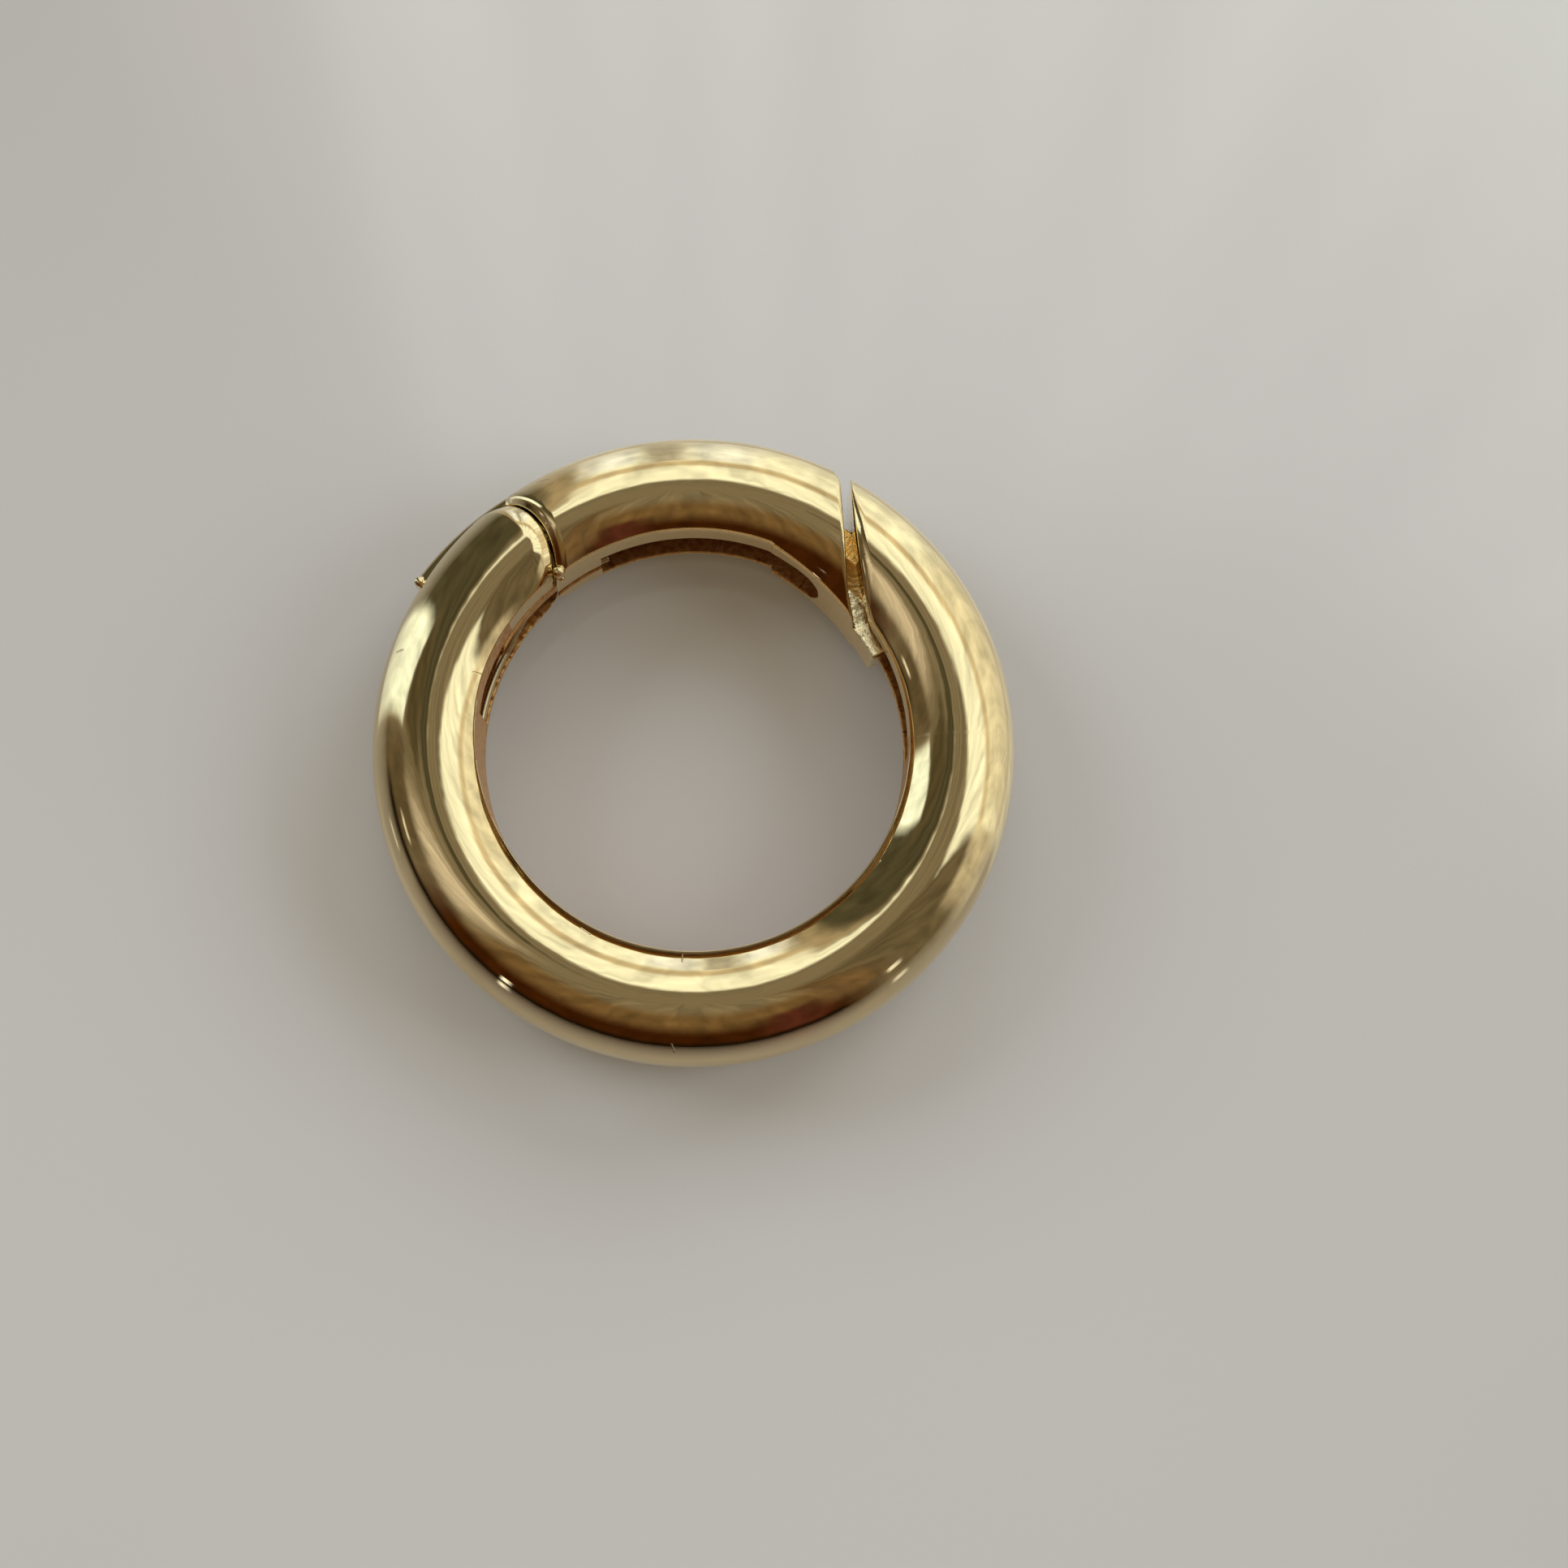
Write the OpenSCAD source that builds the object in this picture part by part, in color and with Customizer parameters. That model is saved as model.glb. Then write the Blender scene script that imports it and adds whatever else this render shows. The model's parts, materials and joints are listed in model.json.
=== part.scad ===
/* [Ring] */
// Outer diameter of the closed ring
ring_od = 25; // [24:0.5:30]
// Diameter of the ring's round section
tube_d = 4.7; // [4.3:0.1:5.2]
// Depth of the flat band round the inside
flat_cut = 0.45; // [0.25:0.05:0.65]

/* [Hinge] */
// Direction of the hinge pin, anticlockwise from the right
hinge_at = 142.5; // [138:0.5:146]
// How far the pin sits outside the section's middle
pin_out = 0.7; // [0.55:0.05:0.85]
// Diameter of the hinge pin
pin_d = 1.3; // [1:0.05:1.5]
// Gap between the pin and the gate's bore
pin_gap = 0.04; // [0.02:0.01:0.08]
// Gap between the pin and the body's bore
pin_seat = 0.01; // [0.01:0.005:0.02]
// Metal left over the pin's hidden end
pin_cap = 0.35; // [0.25:0.05:0.5]
// Gap between the pin's hidden end and that metal
pin_sink = 0.05; // [0.02:0.01:0.15]
// Radius of the body's rounded end about the pin
cheek_r = 3.1; // [2.95:0.05:3.35]
// Gap between that end and the gate
seam_gap = 0.08; // [0.05:0.01:0.15]
// Angle that the gate opens by
swing = 40; // [25:1:42]

/* [Tail of the gate] */
// Length of the gate's tail past the pin
tail_len = 1.6; // [1.4:0.05:1.8]
// Gap between the tail's end and its pocket
tail_gap = 0.15; // [0.1:0.01:0.25]
// How far the tail's edge circle leans out of the ring
tail_shift = 0.69; // [0.5:0.01:0.8]
// Direction of that lean, anticlockwise from the pin
tail_lean = 69.5; // [65:0.5:75]
// Gap on both sides of the tail and of the stop lug
side_gap = 0.08; // [0.05:0.01:0.12]
// How far the tail's root reaches into the gate
tail_root = 0.3; // [0.2:0.05:0.4]
// How far the tail's inner face lies behind the flat band
tail_recess = 0.06; // [0.04:0.01:0.15]
// Step up from the slit to the tail's lower edge
tail_step = 0.05; // [0.03:0.01:0.1]
// Height of the tail's lower edge at its end, from the section's middle
tail_rise = 0.35; // [0.2:0.05:0.45]

/* [Channels] */
// Height of the channels behind the inner face
channel_h = 1.8; // [1.6:0.05:2]
// How far the channels lie below the section's middle
channel_drop = 0.25; // [0.15:0.05:0.3]
// Depth of the spring channel from the flat band
channel_depth = 2.65; // [2.55:0.05:2.8]
// Direction where the spring channel ends
channel_to = 172; // [166:1:180]
// Depth of the catch pocket from the flat band
catch_depth = 2.35; // [2.2:0.05:2.6]
// Direction where the catch pocket ends
catch_to = -4; // [-10:1:4]

/* [Gate] */
// Direction where the gate's slot starts, near the hinge
slot_from = 116.5; // [112:0.5:120]
// Direction where the gate's slot ends, near the mouth
slot_to = 52; // [50:0.5:60]
// Depth of the gate's slot from the flat band
slot_depth = 2.65; // [2.2:0.05:2.8]
// Height of the slit between the slot and the hinge
slit_h = 0.4; // [0.36:0.01:0.5]
// Depth of the slit from the flat band
slit_depth = 0.65; // [0.5:0.05:0.8]
// Direction that the stop lug reaches
lug_to = 26; // [24:0.5:30]
// Gap between the stop lug and the floor of the catch pocket
lug_gap = 0.06; // [0.04:0.01:0.1]
// How far the lug's flat inner face stands inside the flat band
lug_stand = 0.63; // [0.5:0.01:0.7]
// Direction that this face lies in
lug_face_at = 34.5; // [33:0.5:36]
// Step down from the flat band's edge to the lip that carries the lug
lip_step = 0.05; // [0.03:0.01:0.1]

/* [Mouth] */
// Direction of the mouth at the ring's outer side
mouth_at = 58.3; // [57:0.1:60]
// How far that point lies outside the section's middle
mouth_out = 1.55; // [1.4:0.05:1.7]
// Radius of the body's rounded end at the mouth, in plan
mouth_r = 20; // [19:0.5:22]
// Gap of the mouth
mouth_gap = 0.42; // [0.3:0.01:0.6]
// Gap where the gate's end passes the body's end
sweep_gap = 0.08; // [0.05:0.01:0.15]

/* [Spring] */
// Diameter of the spring wire
wire_d = 0.3; // [0.2:0.01:0.34]
// Depth of the wire's middle behind the flat band
wire_in = 0.25; // [0.2:0.01:0.35]
// How far the wire lies below the section's middle
wire_drop = 0.3; // [0.2:0.05:0.35]
// Direction that the wire reaches in the gate
wire_to = 114; // [112:0.5:115]
// Gap between the wire's foot and the channel's end
wire_gap = 0.05; // [0.03:0.01:0.1]

/* [Hidden] */
$fn = 128;

tube_r = tube_d / 2;
ring_r = ring_od / 2 - tube_r;
flat_r = ring_r - tube_r + flat_cut;
big = ring_od;

// Heights are counted from the surface that the ring lies on
mid_z = tube_r;
channel_top = mid_z - channel_drop + channel_h / 2;
channel_low = channel_top - channel_h;
wire_z = mid_z - wire_drop;
wire_r = flat_r + wire_in;
slit_r = flat_r + slit_depth;

function at(r, a) = [r * cos(a), r * sin(a)];
function half_height(r) = sqrt(tube_r * tube_r - (r - ring_r) * (r - ring_r));

pin_r = pin_d / 2;
pin_at = at(ring_r + pin_out, hinge_at);
pin_side = half_height(ring_r + pin_out + pin_r);

mouth_c = at(ring_r + mouth_out, mouth_at) + [mouth_r, 0];
foot = mouth_c - pin_at;
foot_dir = atan2(foot.y, foot.x);
foot_r = norm(foot) - mouth_r;

// Direction inside the body where the two plan zones can part
part_at = 15;
seam_r = cheek_r + seam_gap;
// The pocket clears the tail's corner over the whole swing
pocket_r = tail_len / cos(swing + 6) + tail_gap;

// The round section with its flat inner side
module section() {
    intersection() {
        translate([ring_r, 0]) circle(r = tube_r);
        translate([flat_r, -tube_r]) square([tube_d, tube_d]);
    }
}

module whole_ring() {
    translate([0, 0, mid_z]) rotate_extrude() section();
}

// A prism over a sector of the plan
module sector(from, to, low, high) {
    far = big / cos((to - from) / 2) + 1;
    translate([0, 0, low]) linear_extrude(high - low)
        polygon([[0, 0], at(far, from), at(far, (from + to) / 2), at(far, to)]);
}

// A band between two radii over a sector
module band(r_in, r_out, from, to, low, high) {
    rotate([0, 0, from]) rotate_extrude(angle = to - from)
        translate([r_in, low]) square([r_out - r_in, high - low]);
}

// A round prism about the pin
module about_pin(r) {
    translate([pin_at.x, pin_at.y, -1]) cylinder(r = r, h = tube_d + 2);
}

// A round prism about the centre of the mouth's arc
module about_mouth(r) {
    translate([mouth_c.x, mouth_c.y, -1]) cylinder(r = r, h = tube_d + 2);
}

// Turns x along the ring towards the gate and y outwards, with the pin as origin
module at_hinge() {
    translate([pin_at.x, pin_at.y, 0]) rotate([0, 0, hinge_at - 90]) children();
}

module hinge_pocket() {
    intersection() {
        union() {
            at_hinge() translate([-tail_len - tail_gap, -big / 4, 0])
                cube([big / 2, big / 2, tube_d]);
            about_pin(pocket_r);
        }
        translate([-big, -big, channel_low]) cube([2 * big, 2 * big, channel_h]);
    }
}

module ring_body() {
    color([0.86, 0.74, 0.48])
    difference() {
        whole_ring();
        // Room for the gate, between the hinge and the mouth
        difference() {
            sector(part_at, hinge_at, -1, tube_d + 1);
            about_pin(cheek_r);
            about_mouth(mouth_r);
        }
        intersection() {
            hinge_pocket();
            sector(part_at + 75, hinge_at + 60, 0, tube_d);
        }
        // Spring channel behind the hinge
        band(flat_r - 1, flat_r + channel_depth, hinge_at - 6, channel_to,
            channel_low, channel_top);
        // Catch pocket behind the mouth
        band(flat_r - 1, flat_r + catch_depth, catch_to, mouth_at + 6,
            channel_low, channel_top);
        // Bore of the pin, open below and blind above
        translate([pin_at.x, pin_at.y, -1])
            cylinder(r = pin_r + pin_seat, h = mid_z + pin_side - pin_cap + 1);
    }
}

// The tail that lies between the body's two cheeks
module tail() {
    low = channel_low + side_gap;
    lean = at(tail_shift, hinge_at + tail_lean);
    difference() {
        intersection() {
            at_hinge() translate([-tail_len, -big / 4, low])
                cube([tail_len + seam_r + tail_root, big / 2, channel_h - 2 * side_gap]);
            translate([lean.x, lean.y, 0]) cylinder(r = ring_od / 2, h = tube_d);
        }
        translate([0, 0, -1]) cylinder(r = flat_r + tail_recess, h = tube_d + 2);
        // Room for the wire below the tail's inner face
        intersection() {
            translate([0, 0, -1]) cylinder(r = slit_r, h = tube_d + 2);
            at_hinge() rotate([90, 0, 0]) linear_extrude(big / 4)
                polygon([
                    [-tail_len - 1, 0],
                    [seam_r + 1, 0],
                    [seam_r + 1, wire_z + slit_h / 2 + tail_step],
                    [pin_r / 2, wire_z + slit_h / 2 + tail_step],
                    [-tail_len / 2, mid_z + tail_rise],
                    [-tail_len - 1, mid_z + tail_rise],
                ]);
        }
    }
}

// The lug that stops the gate in the catch pocket, with the lip that carries it
module stop_lug() {
    lug_in = flat_r - 2 * lug_stand;
    lip_half = half_height(flat_r) - lip_step;
    intersection() {
        union() {
            band(lug_in, flat_r + catch_depth - lug_gap, lug_to, mouth_at + 4,
                channel_low + side_gap, channel_top - side_gap);
            difference() {
                band(lug_in, flat_r + lug_stand, lug_to, mouth_at + 4,
                    mid_z - lip_half, mid_z + lip_half);
                about_mouth(mouth_r + mouth_gap);
            }
        }
        // Their inner side is one flat face
        rotate([0, 0, lug_face_at]) translate([flat_r - lug_stand, -big / 2, 0])
            cube([big, big, tube_d]);
    }
}

// The slot's end near the mouth is round
module gate_slot() {
    nose = asin(channel_h / 2 / flat_r);
    band(flat_r - 1, flat_r + slot_depth, slot_to + nose, slot_from, channel_low, channel_top);
    rotate([0, 0, slot_to + nose]) translate([0, 0, (channel_low + channel_top) / 2])
        rotate([0, 90, 0]) cylinder(r = channel_h / 2, h = flat_r + slot_depth);
}

module gate() {
    color([0.84, 0.72, 0.45])
    difference() {
        union() {
            difference() {
                whole_ring();
                sector(hinge_at, 360 + part_at - 120, -1, tube_d + 1);
                sector(360 + part_at - 121, 360 + part_at, -1, tube_d + 1);
                about_pin(seam_r);
                about_mouth(mouth_r + mouth_gap);
                // The end that swings past the body's end
                difference() {
                    translate([pin_at.x, pin_at.y, -1]) rotate([0, 0, foot_dir])
                        translate([foot_r / 2, 0, 0]) cube([big, big, tube_d + 2]);
                    about_pin(foot_r - sweep_gap);
                }
            }
            tail();
            stop_lug();
        }
        gate_slot();
        // Slit for the wire
        band(flat_r - 1, slit_r, slot_from - 1, hinge_at - 10,
            wire_z - slit_h / 2, wire_z + slit_h / 2);
        about_pin(pin_r + pin_gap);
    }
}

// The pin's driven end is dressed flush with the ring's underside
module hinge_pin() {
    color([0.78, 0.66, 0.4])
    intersection() {
        translate([pin_at.x, pin_at.y, 0])
            cylinder(r = pin_r, h = mid_z + pin_side - pin_cap - pin_sink);
        whole_ring();
    }
}

module spring() {
    foot_at = channel_to - wire_gap / wire_r * 180 / PI;
    color([0.82, 0.78, 0.7])
    translate([0, 0, wire_z]) rotate([0, 0, wire_to])
        rotate_extrude(angle = foot_at - wire_to)
            translate([wire_r, 0]) circle(r = wire_d / 2);
}

ring_body();
gate();
hinge_pin();
spring();
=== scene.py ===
import json
import math

import bpy
import numpy as np
from mathutils import Matrix, Vector


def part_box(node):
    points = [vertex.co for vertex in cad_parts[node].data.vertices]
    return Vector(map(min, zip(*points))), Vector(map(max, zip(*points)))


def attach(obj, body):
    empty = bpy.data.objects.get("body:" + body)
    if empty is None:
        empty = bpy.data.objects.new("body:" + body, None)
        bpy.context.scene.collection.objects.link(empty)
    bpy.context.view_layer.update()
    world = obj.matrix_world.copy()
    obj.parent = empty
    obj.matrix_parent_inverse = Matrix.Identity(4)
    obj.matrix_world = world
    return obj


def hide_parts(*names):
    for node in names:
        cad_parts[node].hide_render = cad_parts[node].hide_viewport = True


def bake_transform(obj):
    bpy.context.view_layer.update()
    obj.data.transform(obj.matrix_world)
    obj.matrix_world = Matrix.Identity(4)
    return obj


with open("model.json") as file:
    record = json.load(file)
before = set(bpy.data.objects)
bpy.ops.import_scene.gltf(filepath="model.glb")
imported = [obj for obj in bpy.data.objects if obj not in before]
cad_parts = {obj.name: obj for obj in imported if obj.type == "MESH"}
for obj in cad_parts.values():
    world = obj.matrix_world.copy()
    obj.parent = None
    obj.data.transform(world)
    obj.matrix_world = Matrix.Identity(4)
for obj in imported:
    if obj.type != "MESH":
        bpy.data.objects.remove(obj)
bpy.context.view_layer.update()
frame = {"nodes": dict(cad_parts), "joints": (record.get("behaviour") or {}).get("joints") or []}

# Lengths are in mm and angles in degrees, counted from the ring's middle, until a mesh is made
MM = 0.001
DEG = math.pi / 180


def polar(radius, angle):
    return np.array([radius * math.cos(angle * DEG), radius * math.sin(angle * DEG)])


# Sizes taken from the frame
low, high = (np.array(corner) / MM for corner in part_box("ring_body"))
tube_r = (high[2] - low[2]) / 2
outer_r = high[0]
ring_r = outer_r - tube_r
hinge = frame["joints"][0]
pin = np.array(hinge["pos_m"][:2]) / MM
pin_low, pin_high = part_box("hinge_pin")
pin_r = (pin_high[0] - pin_low[0]) / MM / 2
hinge_at = math.degrees(math.atan2(pin[1], pin[0]))
swing = hinge["range_deg"][1]

# Sizes shared with the part's source
flat_r = 8.25
cheek_r = 3.1
seam_r = 3.18
pin_seat, pin_gap = 0.01, 0.04
tail_len, tail_gap, tail_shift, tail_lean = 1.6, 0.15, 0.69, 69.5
tail_root, tail_recess, tail_step, tail_rise = 0.3, 0.06, 0.05, 0.35
side_gap = 0.08
channel_mid, channel_half = -0.25, 0.9
channel_from, channel_to, channel_r = 136.5, 172, 10.9
catch_from, catch_to, catch_r = -4, 64.3, 10.6
slot_from, slot_to = 116.5, 52
slit_r, slit_half = 8.9, 0.2
wire_z, wire_in, wire_to = -0.3, 0.25, 114.0
lug_to, lug_r, lip_step = 26, 10.54, 0.05
mouth_out, mouth_edge_at = 1.55, 58.3
mouth_r, mouth_gap, sweep_gap = 20.0, 0.42, 0.08
mouth_at = polar(ring_r + mouth_out, mouth_edge_at) + [mouth_r, 0]
spare_swing = 6
pocket_r = tail_len / math.cos((swing + spare_swing) * DEG) + tail_gap
flat_half = math.sqrt(tube_r ** 2 - (ring_r - flat_r) ** 2)

# The lug starts on the gate at this angle, farther back than in the part's source. Its inner
# face bends in from the flat band as an arc about a point, and leans by this much with height
lug_root = 68.5
bend_r, bend_at, bend_lean = 9.75, polar(-2.05, 25), 0.07

# Its top falls away by up to this much, fully inside a radius and not at all outside another
lug_slope, lug_fall, lug_level = polar(0.2, 112), 0.38, 0.05
fall_r, fall_width = 9.6, 0.8

# Directions at the hinge: outwards, and along the ring towards the gate
outwards = polar(1, hinge_at)
towards = np.array([outwards[1], -outwards[0]])
tail_middle = polar(tail_shift, hinge_at + tail_lean)
foot = mouth_at - pin
foot_dir = foot / np.hypot(*foot)
foot_r = np.hypot(*foot) - mouth_r

# Small casting beads on the gate: two at the seam's inner end and one on the tail's corner
BEADS = (((*polar(8.44, 128.8), 1.50), 0.25), ((*polar(8.27, 128.9), 1.14), 0.13),
         ((*polar(12.6, 149.0), 0.42), 0.22))

# A distance beyond every surface, and one that is simply outside
FAR = 3.0
OUTSIDE = 1.0

# The hinge's surfaces hold from the top of the ring to one angle, the mouth's from another
TOP_AT, HINGE_TO, MOUTH_FROM = 90, 200, 15


def meet(a, b, radius):
    """The solid inside both a and b, with its edge rounded."""
    corner = np.hypot(np.maximum(a + radius, 0), np.maximum(b + radius, 0))
    return np.minimum(np.maximum(a, b), -radius) + corner


def join(a, b, radius):
    """The solid inside a or b, with a fillet between them."""
    return -meet(-a, -b, radius)


def both(*parts):
    return np.maximum.reduce(parts)


def bevel(tube, end, width, tilt):
    """A face that turns the tube down towards its end, from this width before it."""
    return tube * math.cos(tilt * DEG) + (end + width) * math.sin(tilt * DEG)


class Place:
    """Where points lie: about the ring, the pin and the mouth's arc."""

    def __init__(self, points):
        self.x, self.y, self.z = points[..., 0], points[..., 1], points[..., 2]
        self.rho = np.hypot(self.x, self.y)
        self.turn = np.degrees(np.arctan2(self.y, self.x)) % 360
        self.side = np.where(self.turn > 180, self.turn - 360, self.turn)
        self.arc = self.rho * DEG
        dx, dy = self.x - pin[0], self.y - pin[1]
        self.ahead = dx * towards[0] + dy * towards[1]
        self.out = dx * outwards[0] + dy * outwards[1]
        self.from_pin = np.hypot(dx, dy)
        self.over_foot = dy * foot_dir[0] - dx * foot_dir[1]
        self.from_mouth = np.hypot(self.x - mouth_at[0], self.y - mouth_at[1])
        self.tube = np.hypot(self.rho - ring_r, self.z) - tube_r
        self.by_hinge = (self.turn > TOP_AT) & (self.turn < HINGE_TO)

    def past(self, angle):
        """Inside at greater angles than this one."""
        return (angle - self.side) * self.arc

    def short_of(self, angle):
        """Inside at smaller angles than this one."""
        return (self.side - angle) * self.arc

    def channel(self, rim=0.0):
        """Inside at the height of the channels, with an uneven lower rim."""
        return np.maximum(self.z - channel_mid - channel_half,
                          channel_mid - channel_half + rim - self.z)


def uneven(value, seed):
    """A smooth hand-filed line, from about -1 to 1."""
    waves = ((1.0, 0.4), (0.8, 1.3), (0.7, 2.1), (0.5, 3.0), (0.4, 3.9))
    return sum(size * np.sin(value * rate + seed * 1.7 * rate) for size, rate in waves) / 2.4


# The body's flat band leans back by this much at its upper edge, at these angles
LEAN_ANGLES = (100, 140, 165, 180, 210)
LEAN_BY = (0, 0.15, 0.22, 0.14, 0)


def body_field(points):
    """The fixed part of the ring: the distance to it, and its surfaces by their looks."""
    at = Place(points)
    flat_edge, rim_edge, cheek_edge, hollow_edge = 0.06, 0.1, 0.08, 0.05
    rim_width, rim_tilt, rim_wave = 0.5, 26, 0.05
    mouth_heights, mouth_edges = (1.7, 2.25), (0.08, 0.42)
    bore_top, filed_to = 1.6, 148
    rise = np.clip((at.z + flat_half) / (2 * flat_half), 0, 1)
    flat = flat_r + np.interp(at.turn, LEAN_ANGLES, LEAN_BY) * rise - at.rho
    hinge_end = np.where(at.ahead > 0, at.from_pin, np.abs(at.out) - at.ahead ** 2 / 4) - cheek_r
    hinge_end = np.where(at.by_hinge, hinge_end, -FAR)
    mouth_end = np.where((at.side > MOUTH_FROM) & (at.side <= TOP_AT), at.from_mouth - mouth_r, -FAR)
    rim = at.channel(rim_wave * uneven(at.turn, 1))
    pocket = np.minimum(-(at.ahead + tail_len + tail_gap), at.from_pin - pocket_r)
    pocket = np.maximum(rim, np.where(at.by_hinge, pocket, FAR))
    channel = both(rim, at.rho - channel_r, at.past(channel_from), at.short_of(channel_to))
    catch = both(rim, at.rho - catch_r, at.past(catch_from), at.short_of(catch_to))
    hollow = -np.minimum(np.minimum(pocket, channel), catch)
    whole = meet(at.tube, flat, flat_edge)
    whole = meet(whole, bevel(at.tube, hinge_end, rim_width, rim_tilt), rim_edge)
    whole = meet(whole, hinge_end, cheek_edge)
    whole = meet(whole, mouth_end, np.interp(np.abs(at.z), mouth_heights, mouth_edges))
    whole = meet(whole, hollow, hollow_edge)
    whole = np.maximum(whole, -np.maximum(at.from_pin - pin_r - pin_seat, at.z - bore_top))
    # Past filed_to the flat band takes the cast look, as the hollows do; that look's dark red-brown
    # tone is painted shade.
    filed = at.turn < filed_to
    return whole, ((at.tube, hinge_end, mouth_end), (np.where(filed, flat, FAR),),
                   (hollow, np.where(filed, FAR, flat)), ())


def tail_field(at, thin):
    """The tongue between the body's cheeks, with room for the wire below its inner face."""
    outer_edge, end_edge, inner_edge = 0.42, 0.12, 0.06
    edge = np.hypot(at.x - tail_middle[0], at.y - tail_middle[1]) - outer_r
    ends = np.maximum(-(at.ahead + tail_len), at.ahead - seam_r - tail_root)
    lower = np.interp(at.ahead, (-0.8, 0.325), (tail_rise, wire_z + slit_half + tail_step))
    tail = meet(thin, edge, outer_edge)
    tail = meet(tail, ends, end_edge)
    tail = meet(tail, flat_r + tail_recess - at.rho, inner_edge)
    tail = meet(tail, -np.maximum(at.rho - slit_r, at.z - lower), 0.05)
    return np.where(at.by_hinge, tail, FAR)


def lug_field(at, thin):
    """The stop lug, the slope that carries it at the gate's end, and their inner face."""
    end_edge, face_edge, lip_depth = 0.15, 0.1, 0.2
    sink_by, sink_from, sink_over = 0.03, 60, 8
    face = bend_r + bend_lean * at.z - np.hypot(at.x - bend_at[0], at.y - bend_at[1])
    ends = np.maximum(at.past(lug_to), at.short_of(lug_root))
    slant = np.clip(at.x * lug_slope[0] + at.y * lug_slope[1] - lug_level, 0, lug_fall)
    slant *= np.clip((fall_r - at.rho) / fall_width, 0, 1)
    lug = meet(both(thin, at.z - channel_mid - channel_half + side_gap + slant), ends, end_edge)
    lug = np.maximum(lug, at.rho - lug_r)
    lug = meet(lug, face, face_edge)
    # The slope goes on from the tube's side as a flat, and sinks below it at the root
    sunk = sink_by * np.clip((at.side - sink_from) / sink_over, 0, 1)
    slope_up = (at.z + ring_r - at.rho) / math.sqrt(2) - tube_r + sunk
    lip = both(slope_up, lip_step - flat_half - at.z, at.rho - flat_r - lip_depth, ends)
    return lug, lip, face


def gate_field(points):
    """The gate with its tail and its stop lug."""
    at = Place(points)
    flat_edge, rim_edge, seam_edge, hollow_edge, mouth_edge = 0.1, 0.1, 0.06, 0.05, 0.13
    rim_width, rim_tilt, rim_wave = 0.34, 40, 0.03
    tail_fillet, lug_fillet, lip_fillet, bead_fillet = 0.03, 0.05, 0.03, 0.02
    widen_radii, widen_by = (8.4, 9.8), (0.15, 0)
    slit_before, slit_past = 10, 1

    # Above the slot the flat band leans back a little
    lean, lean_from, lean_over = 0.08, 0.65, 0.8
    flat = flat_r + lean * np.clip(at.z - lean_from, 0, lean_over) - at.rho
    seam = np.where(at.turn > TOP_AT, np.maximum(seam_r - at.from_pin, -at.ahead), -FAR)
    past_foot = np.where(at.over_foot > 0, at.from_pin - foot_r + sweep_gap, -FAR)
    widening = np.interp(at.rho, widen_radii, widen_by)
    mouth_end = np.maximum(mouth_r + mouth_gap + widening - at.from_mouth, past_foot)
    mouth_end = np.where(at.turn < MOUTH_FROM, OUTSIDE, mouth_end)
    mouth_end = np.where(at.turn > TOP_AT, -FAR, mouth_end)
    mouth_end = np.where(at.turn > HINGE_TO, OUTSIDE, mouth_end)
    thin = np.abs(at.z - channel_mid) - channel_half + side_gap
    tail = tail_field(at, thin)
    lug, lip, face = lug_field(at, thin)

    nose_at = slot_to + math.degrees(math.asin(channel_half / flat_r))
    nose = np.hypot(at.past(nose_at), at.z - channel_mid) - channel_half
    long_part = np.maximum(at.channel(rim_wave * uneven(at.turn, 3)), at.short_of(slot_from))
    slot = np.maximum(np.where(at.side < nose_at, nose, long_part), at.rho - channel_r)
    slit = both(np.abs(at.z - wire_z) - slit_half, at.rho - slit_r,
                at.past(slot_from - slit_past), at.short_of(hinge_at - slit_before))
    hollow = -np.minimum(slot, slit)

    near_lug = (at.side < lug_root) & (at.side > -TOP_AT)
    section = np.where(near_lug, join(at.tube, lip, lip_fillet), at.tube)
    whole = meet(section, np.where(near_lug, np.minimum(flat, face), flat), flat_edge)
    whole = meet(whole, bevel(at.tube, seam, rim_width, rim_tilt), rim_edge)
    whole = meet(whole, seam, seam_edge)
    whole = meet(whole, mouth_end, mouth_edge)
    whole = join(whole, tail, tail_fillet)
    whole = join(whole, lug, lug_fillet)
    whole = meet(whole, hollow, hollow_edge)
    whole = np.maximum(whole, pin_r + pin_gap - at.from_pin)
    for (x, y, z), radius in BEADS:
        ball = np.sqrt((at.x - x) ** 2 + (at.y - y) ** 2 + (at.z - z) ** 2) - radius
        whole = join(whole, ball, bead_fillet)
    # The hollows and the tail's inner face take the cast look, whose dark red-brown tone is painted
    # shade.
    outside = at.rho > ring_r
    return whole, ((section, seam, mouth_end, np.where(outside, tail, FAR)), (flat, face),
                   (hollow, np.where(outside, FAR, tail)), (lug,))


def lines(start, *spans):
    """Grid lines from start on, each span given as its end and its step."""
    found = [start]
    for end, step in spans:
        first = found[-1]
        count = max(1, round((end - first) / step))
        found += [first + (end - first) * (i + 1) / count for i in range(count)]
    return np.array(found)


def slope(field, points, step=0.002):
    """The field's gradient, which points out of the solid."""
    found = np.empty_like(points)
    for axis in range(3):
        shift = np.zeros(3)
        shift[axis] = step
        found[:, axis] = (field(points + shift)[0] - field(points - shift)[0]) / (2 * step)
    return found


def cut_of(axis, lo, hi):
    """An index that keeps two axes whole and cuts one."""
    return tuple(slice(lo, hi) if i == axis else slice(None) for i in range(3))


def spread(values, axis):
    """A row of values laid along one axis of the grid."""
    shape = [1, 1, 1]
    shape[axis] = -1
    return values.reshape(shape)


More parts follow.
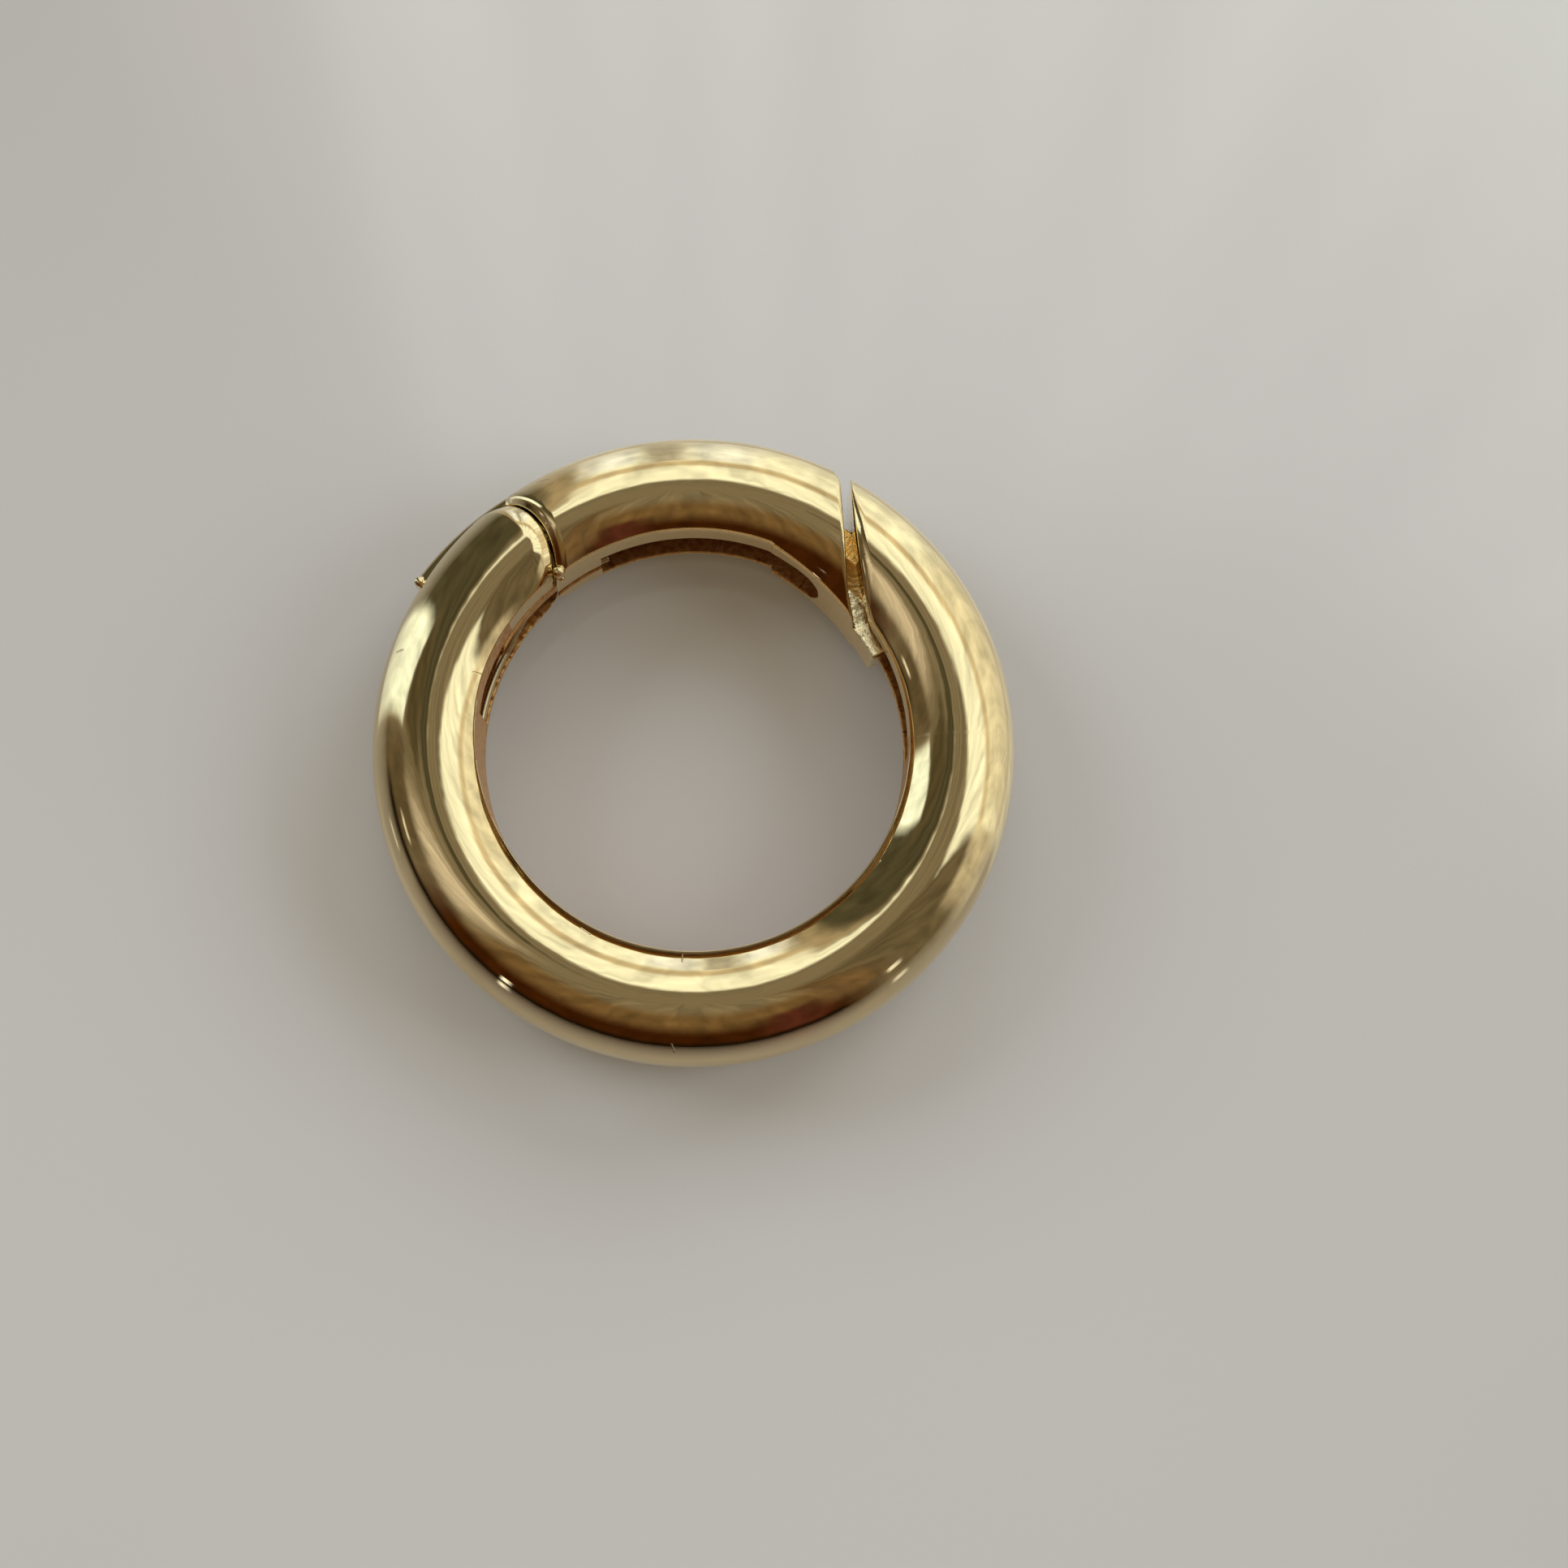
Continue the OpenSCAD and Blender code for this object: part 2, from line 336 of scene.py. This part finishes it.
def skin(field, angles, radii, heights):
    """Points and quads on the solid's surface, from a grid of angles, radii and heights."""
    axes = (angles, radii, heights)
    turn, rho, z = np.meshgrid(angles * DEG, radii, heights, indexing="ij")
    value = field(np.stack([rho * np.cos(turn), rho * np.sin(turn), z], -1))[0]
    inside = value < 0
    cells = tuple(n - 1 for n in value.shape)
    total, count, crossed = np.zeros(cells + (3,)), np.zeros(cells), []

    # Each cell that the surface crosses gets a point in the middle of its crossings
    for axis in range(3):
        near, far = cut_of(axis, None, -1), cut_of(axis, 1, None)
        hit = inside[near] != inside[far]
        share = np.clip(value[near] / np.where(hit, value[near] - value[far], 1), 0.05, 0.95)
        share = np.where(hit, share, 0)
        cut = spread(axes[axis][:-1], axis) + share * spread(np.diff(axes[axis]), axis)
        one, two = (i for i in range(3) if i != axis)
        for i in (0, 1):
            for j in (0, 1):
                pick = [slice(None)] * 3
                pick[one] = slice(i, hit.shape[one] - 1 + i)
                pick[two] = slice(j, hit.shape[two] - 1 + j)
                pick = tuple(pick)
                here = hit[pick]
                count += here
                total[..., axis] += here * cut[pick]
                total[..., one] += here * spread(axes[one][i:len(axes[one]) - 1 + i], one)
                total[..., two] += here * spread(axes[two][j:len(axes[two]) - 1 + j], two)
        crossed.append(hit)
    live = count > 0
    number = np.full(cells, -1)
    number[live] = np.arange(live.sum())
    middle = total[live] / count[live][:, None]
    turn = middle[:, 0] * DEG
    points = np.stack([middle[:, 1] * np.cos(turn), middle[:, 1] * np.sin(turn), middle[:, 2]], -1)
    for _ in range(6):
        steep = slope(field, points)
        step = field(points)[0] / np.maximum((steep * steep).sum(1), 0.2)
        points -= np.clip(step, -0.08, 0.08)[:, None] * steep

    # Each crossed grid edge gets a quad between the points of the four cells round it
    quads = []
    for axis in range(3):
        one, two = (i for i in range(3) if i != axis)
        core = [slice(None)] * 3
        core[one] = core[two] = slice(1, -1)
        edge = np.argwhere(crossed[axis][tuple(core)])
        edge[:, one] += 1
        edge[:, two] += 1
        corners = []
        for i, j in ((-1, -1), (0, -1), (0, 0), (-1, 0)):
            cell = edge.copy()
            cell[:, one] += i
            cell[:, two] += j
            corners.append(number[tuple(cell.T)])
        quad = np.stack(corners, 1)
        back = inside[tuple(edge.T)] != (axis == 1)
        quad[back] = quad[back][:, ::-1]
        quads.append(quad)
    quads = np.concatenate(quads)
    first, second, third, fourth = (points[quads[:, i]] for i in range(4))
    volume = (first * np.cross(third - first, fourth - second)).sum()
    return points, quads if volume > 0 else quads[:, ::-1]


def mesh_object(name, points, quads, normals, looks, look_of):
    """A mesh with its own smooth normals and one look for each quad."""
    mesh = bpy.data.meshes.new(name)
    corners = (points + [0, 0, tube_r]) * MM
    mesh.vertices.add(len(corners))
    mesh.vertices.foreach_set("co", corners.astype(np.float32).ravel())
    mesh.loops.add(quads.size)
    mesh.loops.foreach_set("vertex_index", quads.astype(np.int32).ravel())
    mesh.polygons.add(len(quads))
    mesh.polygons.foreach_set("loop_start", np.arange(0, quads.size, 4, dtype=np.int32))
    mesh.update(calc_edges=True)
    mesh.polygons.foreach_set("use_smooth", np.ones(len(quads), bool))
    mesh.polygons.foreach_set("material_index", look_of.astype(np.int32))
    for material in looks:
        mesh.materials.append(material)
    # A map for the polish marks: along the ring and round its section, in mm
    along = np.degrees(np.arctan2(points[:, 1], points[:, 0])) % 360 * DEG * ring_r
    around = np.arctan2(points[:, 2], np.hypot(points[:, 0], points[:, 1]) - ring_r) * tube_r
    marks = mesh.uv_layers.new(name="marks")
    marks.data.foreach_set("uv", np.stack([along, around], 1)[quads.ravel()].astype(np.float32).ravel())
    mesh.normals_split_custom_set_from_vertices(normals.astype(np.float32))
    made = bpy.data.objects.new(name, mesh)
    bpy.context.scene.collection.objects.link(made)
    return made


def metal_piece(name, field, node, body, looks, angles):
    """One solid of the ring in fine mesh, in the place of its CAD node."""
    radii = lines(7.4, (13.1, 0.08))
    heights = lines(-2.48, (-1.5, 0.1), (-1.0, 0.05), (0.5, 0.09), (0.8, 0.05), (2.5, 0.09))
    points, quads = skin(field, angles, radii, heights)
    steep = slope(field, points)
    normals = steep / np.maximum(np.linalg.norm(steep, axis=1, keepdims=True), 1e-9)
    surfaces = field(points[quads].mean(1))[1]
    gaps = [np.min([np.abs(one) for one in group] + [np.full(len(quads), FAR)], axis=0)
            for group in surfaces]
    made = mesh_object(name, points, quads, normals, looks, np.argmin(gaps, 0))
    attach(made, body)
    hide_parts(node)


class Nodes:
    """A short way to write a node tree."""

    def __init__(self, tree):
        self.tree = tree

    def add(self, kind, inputs=None, **settings):
        made = self.tree.nodes.new("ShaderNode" + kind)
        for key, value in settings.items():
            setattr(made, key, value)
        for key, value in (inputs or {}).items():
            if isinstance(value, bpy.types.NodeSocket):
                self.tree.links.new(value, made.inputs[key])
            else:
                made.inputs[key].default_value = value
        return made

    def math(self, operation, *values):
        return self.add("Math", dict(enumerate(values)), operation=operation).outputs[0]

    def fade(self, value, start, end):
        """Goes smoothly from 0 at start to 1 at end."""
        made = self.add("MapRange", {"Value": value, "From Min": start, "From Max": end},
                        interpolation_type="SMOOTHSTEP")
        return made.outputs["Result"]

    def mix(self, share, first, second):
        made = self.add("Mix", {0: share, 6: first, 7: second}, data_type="RGBA")
        return made.outputs[2]

    def stretched(self, scale, detail, along, across):
        """Noise drawn out along the ring, from the map of the polish marks."""
        marks = self.add("UVMap", uv_map="marks").outputs[0]
        drawn = self.add("Mapping", {"Vector": marks, "Scale": (along, across, 1.0)}).outputs[0]
        return self.add("TexNoise", {"Vector": drawn, "Scale": scale, "Detail": detail}).outputs[0]

    def grain(self, scale, detail):
        place = self.add("TexCoord").outputs["Object"]
        return self.add("TexNoise", {"Vector": place, "Scale": scale, "Detail": detail}).outputs[0]


def metal(name, color=None):
    """A metal and its shader, to which each finish adds its marks."""
    material = bpy.data.materials.new(name)
    material.use_nodes = True
    shader = material.node_tree.nodes["Principled BSDF"]
    shader.inputs["Metallic"].default_value = 1.0
    if color:
        shader.inputs["Base Color"].default_value = (*color, 1)
    return material, Nodes(material.node_tree), shader


def nicks(nodes):
    """A short scratch in some cells of a random pattern, each one turned its own way."""
    marks = nodes.add("UVMap", uv_map="marks").outputs[0]
    cell = nodes.add("TexVoronoi", {"Vector": marks, "Scale": 0.55}, voronoi_dimensions="2D")
    inside = nodes.add("VectorMath", {0: marks, 1: cell.outputs["Position"]}, operation="SUBTRACT")
    chance = nodes.add("SeparateColor", {0: cell.outputs["Color"]})
    angle = nodes.math("MULTIPLY", chance.outputs[0], math.pi)
    turned = nodes.add("VectorRotate", {"Vector": inside.outputs[0], "Angle": angle},
                       rotation_type="Z_AXIS")
    across = nodes.add("SeparateXYZ", {0: turned.outputs[0]})
    narrow = nodes.fade(nodes.math("ABSOLUTE", across.outputs[0]), 0.04, 0.012)
    short = nodes.fade(nodes.math("ABSOLUTE", across.outputs[1]), 0.3, 0.12)
    some = nodes.math("GREATER_THAN", chance.outputs[1], 0.86)
    return nodes.math("MULTIPLY", nodes.math("MULTIPLY", narrow, short), some)


def polished_gold():
    """Mirror polish with faint hairlines, a slight waviness and a few nicks."""
    material, nodes, shader = metal("polished_gold", (0.88, 0.745, 0.47))
    wave = nodes.grain(420.0, 2.0)
    hair = nodes.stretched(1.0, 3.0, 0.35, 14.0)
    nick = nicks(nodes)
    bump = nodes.add("Bump", {"Strength": 0.5, "Distance": 0.00004, "Height": wave})
    bump = nodes.add("Bump", {"Strength": 0.05, "Distance": 0.00001, "Height": hair,
                              "Normal": bump.outputs[0]})
    bump = nodes.add("Bump", {"Strength": 0.6, "Distance": 0.00002, "Normal": bump.outputs[0],
                              "Height": nodes.math("MULTIPLY", nick, -1.0)})
    nodes.tree.links.new(bump.outputs[0], shader.inputs["Normal"])
    rough = nodes.math("MULTIPLY_ADD", nodes.fade(hair, 0.45, 0.8), 0.05, 0.035)
    rough = nodes.math("MULTIPLY_ADD", nick, 0.25, rough)
    nodes.tree.links.new(rough, shader.inputs["Roughness"])
    return material


def satin_gold():
    """The filed flat band: soft reflections, short scratches along the ring and small pits."""
    material, nodes, shader = metal("satin_gold", (0.93, 0.77, 0.49))
    hair = nodes.stretched(2.0, 4.0, 0.8, 9.0)
    pits = nodes.grain(3500.0, 2.0)
    bump = nodes.add("Bump", {"Strength": 0.5, "Distance": 0.00002, "Height": hair})
    bump = nodes.add("Bump", {"Strength": 0.4, "Distance": 0.00004, "Normal": bump.outputs[0],
                              "Height": nodes.fade(pits, 0.3, 0.4)})
    nodes.tree.links.new(bump.outputs[0], shader.inputs["Normal"])
    rough = nodes.math("MULTIPLY_ADD", hair, 0.3, 0.18)
    nodes.tree.links.new(rough, shader.inputs["Roughness"])
    return material


def cast_gold_painted_shade():
    """The unpolished inside of the channels, browner in its pits. Its dark red-brown tone is painted
    shade inside the channels.
    """
    material, nodes, shader = metal("cast_gold_painted_shade")
    grain = nodes.grain(4200.0, 5.0)
    bump = nodes.add("Bump", {"Strength": 0.6, "Distance": 0.00004, "Height": grain})
    nodes.tree.links.new(bump.outputs[0], shader.inputs["Normal"])
    # Painted shade: these dark red-brown tones stand in for the shade inside the channels.
    tone = nodes.mix(nodes.fade(grain, 0.3, 0.7), (0.66, 0.33, 0.10, 1), (0.82, 0.52, 0.24, 1))
    nodes.tree.links.new(tone, shader.inputs["Base Color"])
    rough = nodes.math("MULTIPLY_ADD", grain, 0.3, 0.25)
    nodes.tree.links.new(rough, shader.inputs["Roughness"])
    return material


def grained_gold_painted_shade():
    """The lug's bright granular skin, with streaks of a warmer, darker tone farther out, where that
    tone is painted shade from the channel.
    """
    material, nodes, shader = metal("grained_gold_painted_shade")
    place = nodes.add("TexCoord").outputs["Object"]
    level = nodes.add("VectorMath", {0: place, 1: (1.0, 1.0, 0.0)}, operation="MULTIPLY")
    radius = nodes.add("VectorMath", {0: level.outputs[0]}, operation="LENGTH").outputs["Value"]
    outer = nodes.fade(radius, 8.9 * MM, 9.8 * MM)
    streak = nodes.stretched(1.0, 3.0, 12.0, 0.7)
    grain = nodes.grain(3600.0, 4.0)
    height = nodes.mix(outer, grain, streak)
    bump = nodes.add("Bump", {"Strength": 0.8, "Distance": 0.00006, "Height": height})
    nodes.tree.links.new(bump.outputs[0], shader.inputs["Normal"])
    # Painted shade: farther out the lug turns a darker orange, standing in for the channel's shade on
    # it.
    warm_painted_shade = nodes.mix(nodes.fade(streak, 0.35, 0.65), (0.84, 0.42, 0.08, 1), (1.0, 0.72, 0.30, 1))
    tone = nodes.mix(outer, (1.0, 0.88, 0.62, 1), warm_painted_shade)
    nodes.tree.links.new(tone, shader.inputs["Base Color"])
    rough = nodes.math("MULTIPLY_ADD", grain, 0.3, 0.08)
    nodes.tree.links.new(rough, shader.inputs["Roughness"])
    return material


def wire_metal():
    """Drawn wire, a little duller where it rubs."""
    material, nodes, shader = metal("spring_steel", (0.60, 0.50, 0.34))
    rough = nodes.math("MULTIPLY_ADD", nodes.grain(9000.0, 2.0), 0.3, 0.1)
    nodes.tree.links.new(rough, shader.inputs["Roughness"])
    return material


def spring_wire():
    """The wire from the gate's slot, through the slit and down the channel behind the hinge."""
    wire_r, first, last = 0.15, wire_to, channel_to - 0.4
    rows, corners = 120, 14
    verts, faces = [], []
    for i in range(rows + 1):
        turn = first + (last - first) * i / rows
        drop = np.interp(turn, (130, 152), (0, 0.68))
        depth = np.interp(turn, (128, 138, 150), (wire_in, 0.45, wire_in))
        for j in range(corners):
            around = 2 * math.pi * j / corners
            spot = polar(flat_r + depth + wire_r * math.cos(around), turn) * MM
            verts.append((*spot, (tube_r + wire_z - drop + wire_r * math.sin(around)) * MM))
    for i in range(rows):
        for j in range(corners):
            one, two = i * corners + j, i * corners + (j + 1) % corners
            faces.append((one, one + corners, two + corners, two))
    faces.append(tuple(range(corners)))
    faces.append(tuple(rows * corners + j for j in reversed(range(corners))))
    mesh = bpy.data.meshes.new("spring_wire")
    mesh.from_pydata(verts, [], faces)
    mesh.materials.append(wire_metal())
    for face in mesh.polygons:
        face.use_smooth = len(face.vertices) == 4
    made = bpy.data.objects.new("spring_wire", mesh)
    bpy.context.scene.collection.objects.link(made)
    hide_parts("spring")
    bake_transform(made)


def stone_floor():
    """A plain pale polished stone, which mirrors more the lower it is seen."""
    half = 1.5
    mesh = bpy.data.meshes.new("floor")
    mesh.from_pydata([(-half, -half, 0), (half, -half, 0), (half, half, 0), (-half, half, 0)],
                     [], [(0, 1, 2, 3)])
    made = bpy.data.objects.new("floor", mesh)
    bpy.context.scene.collection.objects.link(made)
    material = bpy.data.materials.new("floor")
    material.use_nodes = True
    nodes = Nodes(material.node_tree)
    nodes.tree.nodes.clear()
    low_angle = nodes.add("LayerWeight", {"Blend": 0.4}).outputs["Facing"]
    matt = nodes.add("BsdfDiffuse", {"Color": (0.63, 0.615, 0.585, 1)}).outputs[0]
    mirror = nodes.add("BsdfGlossy", {"Color": (0.95, 0.95, 0.95, 1), "Roughness": 0.08}).outputs[0]
    stone = nodes.add("MixShader", {0: low_angle, 1: matt, 2: mirror}).outputs[0]
    nodes.add("OutputMaterial", {"Surface": stone})
    mesh.materials.append(material)


# What the metal mirrors, as soft panels round the ring: the middle's direction and height,
# half its width and half its height, how much it rises with each degree, its soft edge,
# and its light. Directions run from the mouth's side, and later panels lie over earlier ones.
# Places and tones were set against the reflections that the photograph shows.
PANELS = (
    (-101, 15, 50, 50, 0.0, 9, (0.18, 0.11, 0.045)),
    (-106, 9, 59, 26, 0.0, 14, (0.045, 0.0125, 0.002)),
    (-66, 24, 7, 20, 0.2, 6, (0.085, 0.024, 0.014)),
    (-47, 50, 8, 28, 0.0, 7, (0.17, 0.105, 0.048)),
    (-22, 32, 20, 45, 0.0, 6, (0.14, 0.11, 0.065)),
    (-9, 14, 13, 17, 0.3, 6, (0.56, 0.50, 0.38)),
    (52, 30, 57, 38, 0.1, 3, (1.10, 1.14, 1.00)),
    (22, 8, 26, 18, 0.3, 7, (0.88, 0.84, 0.66)),
    (86, 12, 5, 16, 0.0, 3, (1.00, 1.06, 1.10)),
    (95, 12, 3, 18, 0.0, 2, (0.50, 0.48, 0.42)),
    (104, 10, 5, 13, 0.0, 2, (1.00, 1.08, 1.15)),
    (20, 30, 26, 5, 0.28, 4, (0.74, 0.64, 0.44)),
    (77, 37, 34, 6, -0.05, 4, (0.66, 0.56, 0.38)),
    (114, 27, 6, 34, 0.0, 5, (0.38, 0.31, 0.20)),
    (129, 32, 14, 50, 0.0, 3, (0.080, 0.071, 0.040)),
    (150, 52, 13, 13, 0.0, 6, (0.095, 0.075, 0.038)),
    (152, 17, 9.5, 21, -0.4, 2.5, (1.12, 1.26, 1.20)),
    (177, 8, 13, 30, 0.0, 5, (0.12, 0.09, 0.05)),
    (-171, 56, 14, 16, 0.0, 9, (0.66, 0.58, 0.47)),
    (-120, -2, 66, 8, 0.0, 5, (0.012, 0.006, 0.002)),
    (-175, 17, 3, 2, 0.0, 1.5, (0.80, 0.75, 0.65)),
    (-135, 7, 1, 4, 0.0, 1, (1.60, 1.60, 1.50)),
    (-41, 14, 1.5, 4, 0.0, 1, (0.90, 0.88, 0.80)),
)
CEILING = (0.23, 0.19, 0.125, 1)

# The even light and the lamps, with powers fitted to the photograph's floor and then rounded
OPEN_SHADE = (0.41, 0.345, 0.245, 1)
WINDOW_LIGHT = (0.74, 0.84, 1.0)
WINDOWS = ((0, 4.2), (50, 3.6), (95, 1.9), (150, 4.2))
window_rise, window_size = 25, 0.6


def studio():
    """Soft panels that the metal mirrors, and plain even light for all the rest."""
    world = bpy.data.worlds.new("studio")
    bpy.context.scene.world = world
    world.use_nodes = True
    nodes = Nodes(world.node_tree)
    nodes.tree.nodes.clear()
    ray = nodes.add("SeparateXYZ", {0: nodes.add("TexCoord").outputs["Generated"]})
    turn = nodes.math("DEGREES", nodes.math("ARCTAN2", ray.outputs[1], ray.outputs[0]))
    rise = nodes.math("DEGREES", nodes.math("ARCSINE", ray.outputs[2]))
    light = nodes.add("RGB")
    light.outputs[0].default_value = CEILING
    light = light.outputs[0]
    for middle, height, half_wide, half_high, tilt, soft, color in PANELS:
        aside = nodes.math("WRAP", nodes.math("SUBTRACT", turn, middle), 180.0, -180.0)
        above = nodes.math("SUBTRACT", rise, nodes.math("MULTIPLY_ADD", aside, tilt, height))
        wide = nodes.fade(nodes.math("ABSOLUTE", aside), half_wide + soft, half_wide - soft)
        tall = nodes.fade(nodes.math("ABSOLUTE", above), half_high + soft, half_high - soft)
        light = nodes.mix(nodes.math("MULTIPLY", wide, tall), light, (*color, 1))
    streak_at = nodes.add("CombineXYZ", {0: nodes.math("MULTIPLY", turn, 0.22),
                                         1: nodes.math("MULTIPLY", rise, 0.035)})
    streak = nodes.add("TexNoise", {"Vector": streak_at.outputs[0], "Scale": 1.0, "Detail": 4.0})
    power = nodes.math("MULTIPLY_ADD", streak.outputs[0], 1.5, 0.25)
    mirrored = nodes.add("Background", {0: light, 1: power}).outputs[0]
    even = nodes.add("Background", {0: OPEN_SHADE}).outputs[0]
    glossy = nodes.add("LightPath").outputs["Is Glossy Ray"]
    whole = nodes.add("MixShader", {0: glossy, 1: even, 2: mirrored}).outputs[0]
    nodes.add("OutputWorld", {"Surface": whole})


def soft_light(name, turn, rise, size, power, color):
    """A round area light a metre away, which the metal doesn't mirror."""
    lamp = bpy.data.lights.new(name, "AREA")
    lamp.shape = "DISK"
    lamp.size = size
    lamp.energy = power
    lamp.color = color
    made = bpy.data.objects.new(name, lamp)
    made.location = (*polar(math.cos(rise * DEG), turn), math.sin(rise * DEG))
    made.rotation_euler = (-made.location).to_track_quat("-Z", "Y").to_euler()
    made.visible_glossy = False
    bpy.context.scene.collection.objects.link(made)


def camera():
    """The photograph's camera, found from the ring's inner and outer outlines."""
    photo_wide, focal_px = 1932, 2800
    ring_px = (856.2, 918.8)
    away = 88.63
    lean_back, lean_side = -12.24, 1.90
    lens = bpy.data.cameras.new("camera")
    lens.sensor_width = 36
    lens.lens = focal_px / photo_wide * lens.sensor_width
    lens.clip_start = 0.001
    made = bpy.data.objects.new("camera", lens)
    bpy.context.scene.collection.objects.link(made)
    to_camera = Matrix.Rotation(lean_side * DEG, 3, "Y") @ Matrix.Rotation(lean_back * DEG, 3, "X")
    ring_middle = Vector(((ring_px[0] - photo_wide / 2) * away / focal_px,
                          (photo_wide / 2 - ring_px[1]) * away / focal_px, -away))
    place = Vector((0, 0, tube_r)) - to_camera.transposed() @ ring_middle
    made.matrix_world = Matrix.Translation(place * MM) @ to_camera.transposed().to_4x4()
    bpy.context.scene.camera = made
    bpy.context.scene.view_settings.view_transform = "Standard"


looks = (polished_gold(), satin_gold(), cast_gold_painted_shade(), grained_gold_painted_shade())
fine_step = 0.075
fine = math.degrees(fine_step / ring_r)
metal_piece("ring_body_metal", body_field, "ring_body", "ring", looks,
            lines(125, (161, fine), (174, 1.9 * fine), (352, 5.3 * fine), (382, 2.1 * fine),
                  (422, fine)))
metal_piece("gate_metal", gate_field, "gate", "gate_body", looks,
            lines(22, (64, fine), (112, 2.7 * fine), (156, fine)))
spring_wire()
pin_mesh = frame["nodes"]["hinge_pin"].data
pin_mesh.materials.clear()
pin_mesh.materials.append(looks[1])
stone_floor()
studio()
for turn, power in WINDOWS:
    soft_light(f"window_{turn}", turn, window_rise, window_size, power, WINDOW_LIGHT)
camera()
